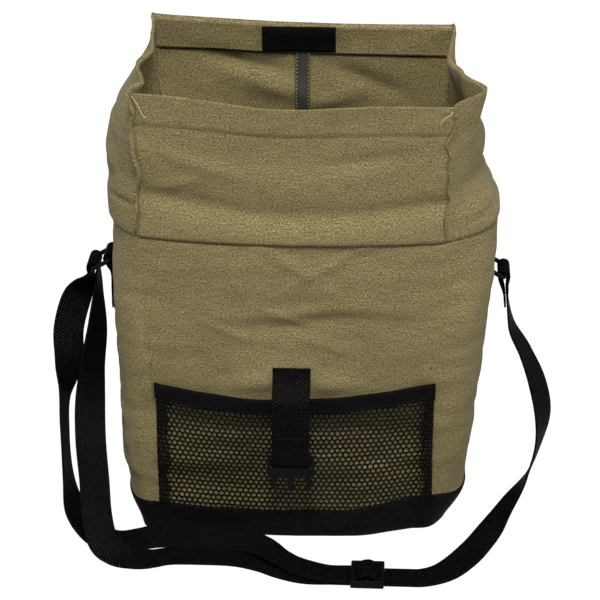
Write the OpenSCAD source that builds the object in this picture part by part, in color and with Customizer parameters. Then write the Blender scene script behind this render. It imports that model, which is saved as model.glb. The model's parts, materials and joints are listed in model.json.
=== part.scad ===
// Roll-top canvas bag for a bicycle rack, standing open on its base.
// Millimetres. X runs across the bag, the front faces -Y, Z is up.
// The origin is the middle of the base panel, on the floor.

/* [Base] */
// Width of the base across the bag
base_w = 276; // [262:1:288]
// Depth of the base from front to back, without the bow of its front
base_d = 146; // [136:1:156]
// Height of the dark band around the base
band_h = 27; // [20:1:34]
// How far the front of the base bows forward
base_bow = 8; // [4:1:10]

/* [Body] */
// Width of the body at the collar seam
body_w = 300; // [290:1:312]
// Depth of the body at the collar seam
body_d = 160; // [150:1:170]
// Height of the collar seam above the floor
body_h = 268; // [256:1:280]
// How far the full front of the body bows forward
body_bow = 12; // [8:1:14]
// Thickness of the lined canvas wall
wall = 2.4; // [1.6:0.2:3]

/* [Collar] */
// Height of the roll-down collar
collar_h = 112; // [100:1:140]
// Distance between the two pinched ridges of the collar's front
ridge_w = 250; // [240:1:260]
// How far the side gussets of the collar stand out past the ridges
gusset_out = 28; // [20:1:32]
// Height of the folded hem along the collar's top
hem_h = 25; // [18:1:30]

/* [Pocket] */
// Width of the net pocket
pocket_w = 224; // [200:1:230]
// Height of the pocket's corners above the floor
pocket_top = 145; // [136:1:148]
// How far the middle of the pocket's mouth dips
pocket_dip = 14; // [6:1:16]
// How far the net stands off the body in the middle
pocket_bulge = 10; // [9:1:12]
// Width of the binding tape along the mouth
binding_h = 12; // [10:1:14]

/* [Closure] */
// Width of the closure webbing, the same front and back
closure_w = 30; // [28:1:32]
// Thickness of the webbing
web_t = 1.6; // [1.4:0.1:1.8]
// Height at which the front tab is sewn to the body
tab_top = 159; // [156:1:164]
// Width across both halves of the side-release buckle
buckle_w = 38; // [36:1:40]

/* [Shoulder strap] */
// Width of the shoulder strap
strap_w = 25; // [24:1:26]
// Height of the side rings' pivots above the floor
ring_z = 212; // [208:1:216]
// How far behind the middle of the sides the rings sit
ring_y = 8; // [4:1:12]

/* [Rack hooks] */
// Diameter of the rack rail that the hooks seat on
rail_d = 10; // [8:1:12]
// Distance between the two hooks
hook_pitch = 150; // [120:1:170]
// Width of one hook
hook_w = 28; // [24:1:34]

/* [Hidden] */

gap = 0.3;               // clearance between neighbouring soft pieces
top_z = body_h + collar_h;
panel_h = 2;             // base panel thickness
board_t = 2.5;           // stiffener thickness
base_corner = 40;        // the base's corners, along X
pocket_z0 = band_h + 2;  // the net's sewn lower edge
net_t = 1.4;
tab_drop = 74;           // from the sewn line down to the buckle's bar
bar_r = 2;               // bars of rings and buckles
loop_r = bar_r + 0.35;   // inside of a webbing loop round a bar
strap_t = 1.8;
slider_x = 63;
slider_y = -140;
slider_len = 28;
slider_w = strap_w + 9;
channel_h = 4.2;         // the way for two layers of strap under the slider's bars
ring_drop = 8;           // the outer bar hangs this far below the pivot
ring_reach = 14;         // and stands this far out
hook_z = 236;            // centre of the rail seat
hook_stand = 12;         // rail centre behind the back wall

canvas = "#83765a";
black = "#17150f";
tape_grey = "#3b3a34";

function mix(a, b, t) = a + (b - a) * t;
function unit(v) = v / norm(v);
function sgn_pow(v, p) = sign(v) * pow(abs(v), p);

// A level section of the bag: [half width, half depth, half width of the flat front, front bow]
function body_section(z) = let (u = min(z / body_h, 1)) [
    mix(base_w, body_w, sin(90 * u)) / 2,
    mix(base_d, body_d, sin(90 * u)) / 2,
    mix(base_w / 2 - base_corner, ridge_w / 2 - 1, u),
    mix(base_bow, body_bow, sin(90 * min(2 * u, 1)))];
function collar_section(z) = let (u = (z - body_h) / collar_h) [
    ridge_w / 2 + gusset_out - (gusset_out - 4) * pow(max(u, 0), 3),
    body_d / 2 + 1.5,
    ridge_w / 2,
    mix(body_bow, 5, max(u, 0))];

// A point of the wall. face: 0 front, 1 right, 2 back, 3 left; s: 0 to 1 along the face; off: outwards
function wall_pt(sec, face, s, z, off) = let (hw = sec[0], hd = sec[1], pw = sec[2], q = 2 * s - 1)
    face == 0 ? [pw * q, -(hd + sec[3] * (1 - q * q) + off), z] :
    face == 2 ? [-pw * q, hd + off, z] :
    let (side = face == 1 ? 1 : -1, t = 90 * q)
    [side * (pw + (hw - pw + off) * pow(cos(t), 2 / 3)), side * (hd + off) * sgn_pow(sin(t), 2 / 3), z];

ring_x = body_section(ring_z)[0] + gap + web_t + loop_r;

function grid(zs, ss, collar, face, off) = [for (z = zs)
    [for (s = ss) wall_pt(collar ? collar_section(z) : body_section(z), face, s, z, off)]];
function steps(a, b, n) = [for (i = [0:n]) mix(a, b, i / n)];

// A closed sheet between two grids of points with the same rows and columns
module sheet(outer, inner) {
    rows = len(outer) - 1;
    cols = len(outer[0]) - 1;
    wide = cols + 1;
    base = wide * (rows + 1);
    function a(i, j) = i * wide + j;
    function b(i, j) = base + i * wide + j;
    pts = concat([for (r = outer) each r], [for (r = inner) each r]);
    faces = concat(
        [for (i = [0:rows - 1], j = [0:cols - 1]) [a(i, j), a(i + 1, j), a(i + 1, j + 1), a(i, j + 1)]],
        [for (i = [0:rows - 1], j = [0:cols - 1]) [b(i, j), b(i, j + 1), b(i + 1, j + 1), b(i + 1, j)]],
        [for (j = [0:cols - 1]) [a(0, j), a(0, j + 1), b(0, j + 1), b(0, j)]],
        [for (j = [0:cols - 1]) [a(rows, j + 1), a(rows, j), b(rows, j), b(rows, j + 1)]],
        [for (i = [0:rows - 1]) [a(i + 1, 0), a(i, 0), b(i, 0), b(i + 1, 0)]],
        [for (i = [0:rows - 1]) [a(i, cols), a(i + 1, cols), b(i + 1, cols), b(i, cols)]]);
    polyhedron(points = pts, faces = faces, convexity = 6);
}

// One wall panel of the bag, with its outer skin `out` outside the nominal surface
module panel(face, z0, z1, rows, cols, collar = false, s0 = 0, s1 = 1, out = 0, thick = wall) {
    zs = steps(z0, z1, rows);
    ss = steps(s0, s1, cols);
    sheet(grid(zs, ss, collar, face, out), grid(zs, ss, collar, face, out - thick));
}

// The level outline of the base, inset by `inset`
function base_outline(inset) = [for (face = [0:3], s = steps(0, 1, 12))
    let (p = wall_pt(body_section(0), face, s, 0, -inset)) if (s < 1) [p[0], p[1]]];

module base_panel() color(black) linear_extrude(panel_h) polygon(base_outline(0));

module base_band() color(black) translate([0, 0, panel_h]) linear_extrude(band_h - panel_h)
    difference() {
        polygon(base_outline(-1.2));
        polygon(base_outline(wall));
    }

module base_board() color("#2a2a28") translate([0, 0, panel_h + gap]) linear_extrude(board_t)
    polygon(base_outline(wall + 1));

module body_front() color(canvas) panel(0, band_h + gap, body_h, 9, 16, s0 = 0.002, s1 = 0.998);
module body_right_gusset() color(canvas) panel(1, band_h + gap, body_h, 8, 18);
module body_back() color(canvas) panel(2, band_h + gap, body_h, 8, 4, s0 = 0.002, s1 = 0.998);
module body_left_gusset() color(canvas) panel(3, band_h + gap, body_h, 8, 18);

// The board and its lining stand inside the back panel
module back_board() color("#2a2a28")
    panel(2, 36, body_h - 12, 8, 4, s0 = 0.03, s1 = 0.97, out = -(wall + gap), thick = board_t);
module back_lining() color(canvas)
    panel(2, 34, body_h - 8, 8, 4, s0 = 0.01, s1 = 0.99, out = -(wall + board_t + 3 * gap), thick = 1);

module collar_front() color(canvas)
    panel(0, body_h + gap, top_z, 8, 16, true, s0 = 0.002, s1 = 0.998);
module collar_right_gusset() color(canvas) panel(1, body_h + gap, top_z, 9, 18, true);
module collar_back_right() color(canvas) panel(2, body_h + gap, top_z, 2, 2, true, s0 = 0.002, s1 = 0.499);
module collar_back_left() color(canvas) panel(2, body_h + gap, top_z, 2, 2, true, s0 = 0.501, s1 = 0.998);
module collar_left_gusset() color(canvas) panel(3, body_h + gap, top_z, 9, 18, true);

// The hems are turned inwards
module front_hem() color(canvas)
    panel(0, top_z - hem_h, top_z, 2, 16, true, s0 = 0.02, s1 = 0.98, out = -(wall + 0.2), thick = 1.2);
module back_hem() color(canvas)
    panel(2, top_z - hem_h, top_z, 2, 2, true, s0 = 0.02, s1 = 0.98, out = -(wall + 0.2), thick = 1.2);

module seam_tape() color(tape_grey)
    translate([-6, collar_section(top_z)[1] - wall - 1.2, body_h + 2]) cube([12, 0.9, collar_h - hem_h - 4]);

patch_w = 60;
patch_h = 22;
module patch(y) translate([-patch_w / 2, y, top_z - hem_h + 1.5]) cube([patch_w, 1.4, patch_h]);
module hook_patch() color(black) patch(collar_section(top_z)[1] - wall - 1.4 - 1.7);
module loop_patch() color(black) patch(-(collar_section(top_z)[1] + 5 - wall - 1.4 - 0.6));

// How far the net stands off the body at x, z
function net_stand(x, z) = gap + pocket_bulge * (1 - pow(abs(2 * x / pocket_w), 4))
    * pow(min(max((z - pocket_z0) / 30, 0), 1), 0.5);
function pocket_mouth(x) = pocket_top - pocket_dip * (1 - pow(abs(2 * x / pocket_w), 2.5));
// The skin of the front at x, z: the bowed flat, and past it the round of the gussets
function front_y(x, z) = let (s = body_section(z), q = min(abs(x) / s[2], 1),
    e = max(abs(x) - s[2], 0) / (s[0] - s[2])) -(s[1] * pow(1 - pow(e, 3), 1 / 3) + s[3] * (1 - q * q));
function net_grid(v0, v1, rows, off) = [for (v = steps(v0, v1, rows))
    [for (x = steps(-pocket_w / 2, pocket_w / 2, 20))
        let (z = mix(pocket_z0, pocket_mouth(x), v)) [x, front_y(x, z) - net_stand(x, z) - off, z]]];

binding_v = 1 - binding_h / (pocket_top - pocket_dip - pocket_z0);
module pocket_net() color(black)
    sheet(net_grid(0, binding_v - 0.005, 8, net_t), net_grid(0, binding_v - 0.005, 8, 0));
module pocket_binding() color(black)
    sheet(net_grid(binding_v, 1, 2, net_t + 0.4), net_grid(binding_v, 1, 2, -0.2));

// The front tab is sewn on above the pocket, bends over its mouth and hangs down to the buckle's bar
tab_y0 = front_y(0, tab_top) - gap - web_t / 2;
knee_z = pocket_top - pocket_dip + 3;
knee_y = front_y(0, knee_z) - net_stand(0, knee_z) - net_t - 0.7 - web_t / 2;
tab_y1 = front_y(0, pocket_z0 + 60) - gap - pocket_bulge - net_t - loop_r - web_t - 0.8;
tab_z1 = tab_top - tab_drop;
tab_path = [[tab_y0, tab_top], [knee_y, knee_z], [tab_y1 - loop_r - web_t / 2 + 0.2, tab_z1]];
module closure_tab() color(black) translate([-closure_w / 2, 0, 0]) rotate([90, 0, 90])
    linear_extrude(closure_w) difference() {
        union() {
            polygon(concat([for (p = tab_path) [p[0] - web_t / 2, p[1]]],
                [for (i = [2:-1:0]) [tab_path[i][0] + web_t / 2, tab_path[i][1]]]));
            translate([tab_y1, tab_z1]) circle(r = loop_r + web_t, $fn = 40);
        }
        translate([tab_y1, tab_z1]) circle(r = loop_r, $fn = 40);
    }

// The male half: a bar in the webbing loop, a plate, and three prongs
plate_t = 4;
module male_buckle() color(black) translate([0, tab_y1, tab_z1]) {
    rotate([0, 90, 0]) cylinder(r = bar_r, h = buckle_w, center = true, $fn = 40);
    for (side = [-1, 1]) translate([side * (buckle_w / 2 - 1.7), 0, -5])
        cube([3.4, plate_t, 14], center = true);
    translate([0, 0, -10]) cube([buckle_w, plate_t, 8], center = true);
    for (x = [-13, 0, 13]) translate([x, 0, -21]) cube([x == 0 ? 5 : 4.5, plate_t - 1, 16], center = true);
    for (side = [-1, 1]) translate([side * 14.8, 0, -27]) cube([6, plate_t - 1, 9], center = true);
}

// The rear strap hangs behind the bag from the collar seam; the female half slides on it
rear_y = body_d / 2 + 2.4;
rear_z0 = 40;
rear_top = body_h - 6;
module rear_strap() color(black)
    translate([-closure_w / 2, rear_y, rear_z0]) cube([closure_w, web_t, rear_top - rear_z0]);

female_z = 44;
female_h = 42;
female_t = 9.6;
module female_buckle() color(black) difference() {
    translate([-buckle_w / 2, rear_y - 0.9, female_z]) cube([buckle_w, female_t, female_h]);
    // the way for the webbing
    translate([-closure_w / 2 - 0.5, rear_y - 0.4, female_z - 1])
        cube([closure_w + 1, web_t + 0.8, female_h + 2]);
    // the socket that the prongs enter from below
    translate([-buckle_w / 2 + 2.5, rear_y + 3, female_z - 1]) cube([buckle_w - 5, 4.8, 32]);
}

// Side tabs, with a loop that holds the ring's inner bar. side is -1 left, 1 right
module side_tab(side) translate([side * ring_x, ring_y, ring_z]) {
    rotate([90, 0, 0]) difference() {
        cylinder(r = loop_r + web_t, h = strap_w, center = true, $fn = 40);
        cylinder(r = loop_r, h = strap_w + 1, center = true, $fn = 40);
    }
    translate([side > 0 ? -loop_r - web_t : loop_r, -strap_w / 2, -46]) cube([web_t, strap_w, 46]);
}
module left_tab() color(black) side_tab(-1);
module right_tab() color(black) side_tab(1);

// A ring: two round bars along Y and two side bars
ring_half = strap_w / 2 + 3;
module side_ring(side) translate([side * ring_x, ring_y, ring_z]) {
    for (p = [[0, 0], [ring_reach, -ring_drop]]) translate([side * p[0], 0, p[1]]) rotate([90, 0, 0])
        cylinder(r = bar_r, h = 2 * ring_half, center = true, $fn = 40);
    for (y = [-1, 1]) translate([0, y * (ring_half - 1), 0])
        rotate([0, side > 0 ? atan2(ring_drop, ring_reach) : 180 - atan2(ring_drop, ring_reach), 0])
            translate([0, -1, -bar_r]) cube([norm([ring_drop, ring_reach]), 2, 2 * bar_r]);
}
module left_ring() color(black) side_ring(-1);
module right_ring() color(black) side_ring(1);

// The strap's turn over the ring's outer bar
module strap_loop(side) translate([side * (ring_x + ring_reach), ring_y, ring_z - ring_drop])
    rotate([90, 0, 0]) difference() {
        cylinder(r = loop_r + strap_t, h = strap_w, center = true, $fn = 40);
        cylinder(r = loop_r, h = strap_w + 1, center = true, $fn = 40);
        translate([-10, -20 - bar_r, -strap_w]) cube([20, 20, 2 * strap_w]);
    }
module left_strap_loop() color(black) strap_loop(-1);
module right_strap_loop() color(black) strap_loop(1);

// The strap's stretches: each row is a point of its middle and the direction of its width
run_route = [
    [[171, 8, 200.5], [0, 1, 0]], [[171, 8, 194], [0, 1, 0]], [[171.5, 5, 181], [0, 1, 0]],
    [[176, -4, 161], [0.1, 1, 0]], [[187, -16, 143], [0.3, 1, 0]], [[197, -26, 121], [0.5, 0.9, 0]],
    [[202, -37, 98], [0.5, 0.9, 0]], [[199, -47, 74], [0.3, 1, 0]], [[190, -57, 50], [0.2, 1, 0]],
    [[175, -67, 29], [-0.1, 1, 0.1]], [[163, -77, 13], [-0.4, 0.9, 0.1]], [[151, -92, 4], [-0.6, 0.8, 0]],
    [[138, -112, 1.2], [-0.7, 0.7, 0]], [[124, -130, 1], [-0.4, 0.9, 0]], [[108, -139, 1], [0, 1, 0]],
    [[93, -140, 1], [0, 1, 0]], [[63, -140, 1], [0, 1, 0]], [[34, -140, 1], [0, 1, 0]]];
inner_route = [
    [[-165, 8, 200], [0, 1, 0]], [[-165, 8, 193], [0, 1, 0]], [[-164.5, 5, 180], [0.1, 1, 0]],
    [[-164, -14, 155], [0.4, 0.9, 0]], [[-166, -34, 132], [0.6, 0.8, 0]], [[-167, -52, 104], [0.9, 0.4, 0]],
    [[-165, -70, 78], [1, 0, 0]], [[-161, -86, 52], [1, -0.1, 0.1]], [[-158, -101, 29], [1, 0.1, 0.2]],
    [[-152, -114, 13], [0.8, 0.5, 0.4]], [[-141, -122, 6], [0.2, 0.9, 0.35]], [[-126, -126, 3.5], [0, 1, 0.15]],
    [[-111, -122, 1.6], [0.3, 1, 0]], [[-96, -117, 1.2], [0.2, 1, 0]], [[-72, -116, 1.2], [0, 1, 0]],
    [[-44, -117, 1.2], [-0.1, 1, 0]], [[-22, -124, 1.2], [-0.4, 0.9, 0]], [[-4, -134, 1.1], [-0.4, 0.9, 0]],
    [[14, -140, 1], [0, 1, 0]], [[32, -140, 1], [0, 1, 0]]];
outer_route = [
    [[-171.5, 8, 200.5], [0, 1, 0]], [[-172, 8, 194], [0.1, 1, 0]], [[-178, 8, 183], [0.6, 0.8, 0]],
    [[-186, 2, 167], [1, 0.3, 0]], [[-189, -8, 150], [1, 0.2, 0]], [[-188, -20, 128], [0.8, 0.6, 0]],
    [[-190, -38, 104], [0.4, 1, 0.1]], [[-188, -57, 80], [0.2, 0.9, 0.3]],
    [[-184, -74, 48], [0.3, 0.8, 0.5]], [[-177, -86, 24], [0.4, 0.8, 0.5]],
    [[-163, -94, 8], [0.1, 0.9, 0.3]], [[-145, -98, 3.5], [0.2, 1, 0.1]], [[-125, -97, 4.5], [0.3, 1, 0.2]],
    [[-104, -92.5, 5.5], [0.1, 1, 0.3]], [[-74, -93, 5.5], [0, 1, 0.3]], [[-46, -95, 5.5], [0, 1, 0.3]],
    [[-26, -103, 5], [-0.4, 0.9, 0.1]], [[-8, -119, 4], [-0.5, 0.9, 0]], [[10, -132, 3], [-0.3, 0.9, 0]],
    [[30, -140, 3], [0, 1, 0]], [[49, -140, 3], [0, 1, 0]]];

function curve_pt(p, i, t) = let (n = len(p) - 1,
    a = p[max(i - 1, 0)], b = p[i], c = p[min(i + 1, n)], d = p[min(i + 2, n)])
    0.5 * (2 * b + (c - a) * t + (2 * a - 5 * b + 4 * c - d) * t * t
        + (3 * b - a - 3 * c + d) * t * t * t);
function smooth_route(p) = concat(
    [for (i = [0:len(p) - 2], t = [0, 0.5]) curve_pt(p, i, t)], [p[len(p) - 1]]);

// The strap's section has eight corners: thin, with slightly rounded edges
module strap(route) {
    mid = smooth_route([for (r = route) r[0]]);
    wide = smooth_route([for (r = route) r[1]]);
    n = len(mid) - 1;
    w = strap_w / 2;
    t = strap_t / 2;
    corners = [[-w, -t / 2], [-w + t, -t], [w - t, -t], [w, -t / 2], [w, t / 2], [w - t, t], [-w + t, t], [-w, t / 2]];
    rings = [for (i = [0:n]) let (
        along = unit(mid[min(i + 1, n)] - mid[max(i - 1, 0)]),
        across = unit(wide[i] - (wide[i] * along) * along),
        up = cross(along, across))
        [for (c = corners) mid[i] + across * c[0] + up * c[1]]];
    faces = concat([[for (j = [0:7]) j]],
        [for (i = [0:n - 1], j = [0:7]) let (a = i * 8, k = (j + 1) % 8)
            each [[a + j, a + 8 + j, a + 8 + k], [a + j, a + 8 + k, a + k]]],
        [[for (j = [7:-1:0]) n * 8 + j]]);
    polyhedron(points = [for (r = rings) each r], faces = faces, convexity = 8);
}
module strap_run() color(black) strap(run_route);
module strap_inner() color(black) strap(inner_route);
module strap_outer() color(black) strap(outer_route);

// A three-bar slider flat on the floor, with the strap in a way under its bars
module strap_slider() color(black) translate([slider_x, slider_y, 0]) difference() {
    translate([-slider_len / 2 + 0.6, -slider_w / 2, 0]) cube([slider_len - 1.2, slider_w, 6.2]);
    translate([-slider_len, -strap_w / 2 - 0.6, -1]) cube([2 * slider_len, strap_w + 1.2, channel_h + 1]);
    for (x = [-1, 1]) translate([x * 6.2 - 3.2, -strap_w / 2 - 0.6, -1]) cube([6.4, strap_w + 1.2, 9]);
}

// Rack hooks: a plate on the back panel and a seat, open below, that drops over a rail
rail_y = body_section(hook_z)[1] + hook_stand;
module rack_hook(x) {
    seat_r = rail_d / 2 + 0.1;
    back_y = body_section(hook_z)[1] + 0.3;
    translate([x - hook_w / 2, 0, 0]) difference() {
        union() {
            translate([0, back_y, hook_z - 50]) cube([hook_w, 4, 62]);
            translate([0, rail_y, hook_z]) rotate([0, 90, 0])
                cylinder(r = seat_r + 4, h = hook_w, $fn = 64);
            translate([0, back_y, hook_z]) cube([hook_w, rail_y - back_y, seat_r + 4]);
            translate([0, rail_y + seat_r, hook_z - 14]) cube([hook_w, 4, 14]);
        }
        translate([-1, rail_y, hook_z]) rotate([0, 90, 0]) cylinder(r = seat_r, h = hook_w + 2, $fn = 64);
        translate([-1, rail_y - seat_r, hook_z - 30]) cube([hook_w + 2, 2 * seat_r, 30]);
        for (z = rivet_zs) translate([hook_w / 2, back_y - 1, z]) rotate([-90, 0, 0])
            cylinder(r = 2.1, h = 8, $fn = 40);
    }
}
module left_rack_hook() color(black) rack_hook(-hook_pitch / 2);
module right_rack_hook() color(black) rack_hook(hook_pitch / 2);

// Rivets pass through hook, back panel and board to washers inside the bag
rivet_zs = [hook_z - 42, hook_z - 24];
rivet_y0 = body_d / 2 - wall - board_t - 4.4;
module hook_rivets() color("#9a9a98") for (x = [-1, 1] * hook_pitch / 2, z = rivet_zs)
    translate([x, body_section(hook_z)[1] + 4.5, z]) rotate([-90, 0, 0]) {
        cylinder(r = 4.5, h = 1.6, $fn = 40);
        translate([0, 0, -3.9]) cylinder(r = 2, h = 3.9, $fn = 40);
    }
module hook_washers() color("#9a9a98") for (x = [-1, 1] * hook_pitch / 2, z = rivet_zs)
    translate([x, rivet_y0, z]) rotate([-90, 0, 0]) cylinder(r = 6, h = 1.2, $fn = 40);

base_panel();
base_band();
base_board();
body_front();
body_right_gusset();
body_back();
body_left_gusset();
back_board();
back_lining();
collar_front();
collar_right_gusset();
collar_back_right();
collar_back_left();
collar_left_gusset();
front_hem();
back_hem();
seam_tape();
hook_patch();
loop_patch();
pocket_net();
pocket_binding();
closure_tab();
male_buckle();
rear_strap();
female_buckle();
left_tab();
left_ring();
left_strap_loop();
right_tab();
right_ring();
right_strap_loop();
strap_run();
strap_inner();
strap_outer();
strap_slider();
left_rack_hook();
right_rack_hook();
hook_rivets();
hook_washers();
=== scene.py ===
# Roll-top canvas bag for a bicycle rack, standing open with its shoulder strap laid round its foot.
# Lengths in the dictionaries are millimetres and meshes are metres. The front is -Y and Z is up.
import bpy
import bmesh
import json
import math
import random
from mathutils import Matrix, Vector, noise


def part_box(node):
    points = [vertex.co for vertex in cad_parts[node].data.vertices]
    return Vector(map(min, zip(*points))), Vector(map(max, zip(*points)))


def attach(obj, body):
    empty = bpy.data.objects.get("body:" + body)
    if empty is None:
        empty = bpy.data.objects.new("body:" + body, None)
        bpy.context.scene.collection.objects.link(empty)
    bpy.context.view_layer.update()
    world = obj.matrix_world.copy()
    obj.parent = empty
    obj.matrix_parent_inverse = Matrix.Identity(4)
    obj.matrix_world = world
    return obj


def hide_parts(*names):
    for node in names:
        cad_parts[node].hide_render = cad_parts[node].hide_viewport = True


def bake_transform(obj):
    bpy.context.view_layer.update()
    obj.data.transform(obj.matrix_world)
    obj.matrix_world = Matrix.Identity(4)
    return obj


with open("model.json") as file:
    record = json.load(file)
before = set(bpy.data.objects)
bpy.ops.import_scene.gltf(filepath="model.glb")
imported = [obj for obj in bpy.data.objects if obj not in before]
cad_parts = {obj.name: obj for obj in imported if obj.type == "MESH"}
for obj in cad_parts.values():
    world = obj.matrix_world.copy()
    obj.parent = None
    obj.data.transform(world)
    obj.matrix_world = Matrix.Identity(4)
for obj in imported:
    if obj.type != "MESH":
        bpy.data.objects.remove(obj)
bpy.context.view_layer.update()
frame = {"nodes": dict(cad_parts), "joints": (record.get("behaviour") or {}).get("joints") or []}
mm = 0.001
rng = random.Random(7)


def boxMm(node):  # a CAD node's corners in millimetres
    low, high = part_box(node)
    return Vector(low) / mm, Vector(high) / mm


def mix(a, b, t):
    return a + (b - a) * t


def clamp01(t):
    return max(0.0, min(1.0, t))


def smooth(t):
    t = clamp01(t)
    return t * t * (3 - 2 * t)


def hump(x, centre, width):  # a soft bump of height 1
    return math.exp(-((x - centre) / width) ** 2)


def along(table, z):  # a smooth line through (height, value) pairs
    for (z0, a), (z1, b) in zip(table, table[1:]):
        if z <= z1:
            return mix(a, b, smooth((z - z0) / (z1 - z0)))
    return table[-1][1]


def signedPower(v, p):
    return math.copysign(abs(v) ** p, v)


def hexColour(text):  # sRGB hex to linear
    parts = [int(text[i:i + 2], 16) / 255 for i in (1, 3, 5)]
    return [p / 12.92 if p <= 0.04045 else ((p + 0.055) / 1.055) ** 2.4 for p in parts] + [1.0]


def addNode(tree, kind, links=(), **settings):
    node = tree.nodes.new(kind)
    for key, value in settings.items():
        if key.startswith("in_"):
            name = key[3:]
            node.inputs[int(name) if name.isdigit() else name.replace("_", " ")].default_value = value
        else:
            setattr(node, key, value)
    for source, socket in links:
        tree.links.new(source, node.inputs[socket])
    return node


def newMaterial(name, roughness, colour=None, sheen=0.0, specular=0.5):
    material = bpy.data.materials.new(name)
    material.use_nodes = True
    tree = material.node_tree
    shader = tree.nodes["Principled BSDF"]
    shader.inputs["Roughness"].default_value = roughness
    shader.inputs["Specular IOR Level"].default_value = specular
    shader.inputs["Sheen Weight"].default_value = sheen
    shader.inputs["Sheen Roughness"].default_value = 0.6
    if colour:
        shader.inputs["Base Color"].default_value = hexColour(colour)
    return material, tree, shader


def fillRamp(node, stops):
    ramp = node.color_ramp
    while len(ramp.elements) < len(stops):
        ramp.elements.new(0.5)
    for element, (place, colour) in zip(ramp.elements, stops):
        element.position = place
        element.color = hexColour(colour) if isinstance(colour, str) else (colour, colour, colour, 1)


print("stage: camera and light")
camera = {"azimuth": 3.0, "elevation": 25.0, "distance": 1900, "lens": 139, "aim": (1.9, 0, 177.5)}
camData = bpy.data.cameras.new("camera")
camData.lens = camera["lens"]
camData.sensor_width = 36
camData.clip_end = 100
cam = bpy.data.objects.new("camera", camData)
tilt = math.radians(camera["elevation"])
turn = math.radians(camera["azimuth"])
toCamera = Vector((math.sin(turn) * math.cos(tilt), -math.cos(turn) * math.cos(tilt), math.sin(tilt)))
cam.location = (Vector(camera["aim"]) + toCamera * camera["distance"]) * mm
cam.rotation_euler = (-toCamera).to_track_quat("-Z", "Y").to_euler()
bpy.context.collection.objects.link(cam)
bpy.context.scene.camera = cam
bpy.context.scene.view_settings.view_transform = "Standard"

world = bpy.data.worlds.new("studio")
bpy.context.scene.world = world
world.use_nodes = True
world.node_tree.nodes["Background"].inputs["Color"].default_value = (1, 1, 1, 1)
world.node_tree.nodes["Background"].inputs["Strength"].default_value = 0.12


def softbox(name, place, aim, size, watts):
    data = bpy.data.lights.new(name, "AREA")
    data.shape = "RECTANGLE"
    data.size, data.size_y = size
    data.energy = watts
    lamp = bpy.data.objects.new(name, data)
    lamp.location = place
    lamp.rotation_euler = (Vector(aim) - Vector(place)).to_track_quat("-Z", "Y").to_euler()
    bpy.context.collection.objects.link(lamp)


softbox("keySoftbox", (0.05, -1.45, 2.6), (0, 0, 0.2), (0.6, 0.6), 140)
softbox("overheadSoftbox", (0.2, 0.3, 2.3), (0, 0, 0.2), (0.8, 0.8), 12)
softbox("rightSoftbox", (2.0, -1.0, 1.3), (0, 0, 0.2), (0.8, 0.8), 38)
softbox("leftSoftbox", (-2.0, -1.0, 1.3), (0, 0, 0.2), (0.8, 0.8), 22)

floor = bpy.data.objects.new("floor", bpy.data.meshes.new("floor"))
bm = bmesh.new()
bmesh.ops.create_grid(bm, x_segments=1, y_segments=1, size=8)
bm.to_mesh(floor.data)
bm.free()
bpy.context.collection.objects.link(floor)
floorPaint, _, floorShader = newMaterial("litWhiteFloor", 0.9, "#3c3c3c", specular=0.0)
floorShader.inputs["Emission Color"].default_value = (1, 1, 1, 1)
floorShader.inputs["Emission Strength"].default_value = 1.0
floor.data.materials.append(floorPaint)


# thick is in millimetres: an offset of 0 grows a sheet both ways, and -1 grows it inwards
def finishMesh(bm, name, material, body=None, replaces=(), smoothFaces=True, thick=0, offset=0):
    mesh = bpy.data.meshes.new(name)
    bm.to_mesh(mesh)
    bm.free()
    piece = bpy.data.objects.new(name, mesh)
    bpy.context.collection.objects.link(piece)
    mesh.materials.append(material)
    for polygon in mesh.polygons:
        polygon.use_smooth = smoothFaces
    if body:
        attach(piece, body)
    if replaces:
        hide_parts(*replaces)
    if thick:
        solidify = piece.modifiers.new("solidify", "SOLIDIFY")
        solidify.thickness, solidify.offset = thick * mm, offset
    return piece


def clothGrid(columns, rows, flat, place, closed=False):  # a woven sheet; its UV is in metres of cloth
    bm = bmesh.new()
    bmesh.ops.create_grid(bm, x_segments=columns, y_segments=rows, size=0.5)
    uv = bm.loops.layers.uv.new("cloth")
    for face in bm.faces:
        for loop in face.loops:
            u, v = loop.vert.co.x + 0.5, loop.vert.co.y + 0.5
            across, up = flat(u, v) if callable(flat) else (u * flat[0], v * flat[1])
            loop[uv].uv = (across * mm, up * mm)
    for vert in bm.verts:
        vert.co = Vector(place(vert.co.x + 0.5, vert.co.y + 0.5)) * mm
    if closed:
        bmesh.ops.remove_doubles(bm, verts=bm.verts, dist=0.02 * mm)
    return bm


def mapFlat(bm, scale=1.0, up=1):  # UV straight from the vertices: x, and y or z, times scale
    uv = bm.loops.layers.uv.new("cloth")
    for face in bm.faces:
        for loop in face.loops:
            loop[uv].uv = (loop.vert.co.x * scale, loop.vert.co[up] * scale)


print("stage: finishes")


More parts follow.
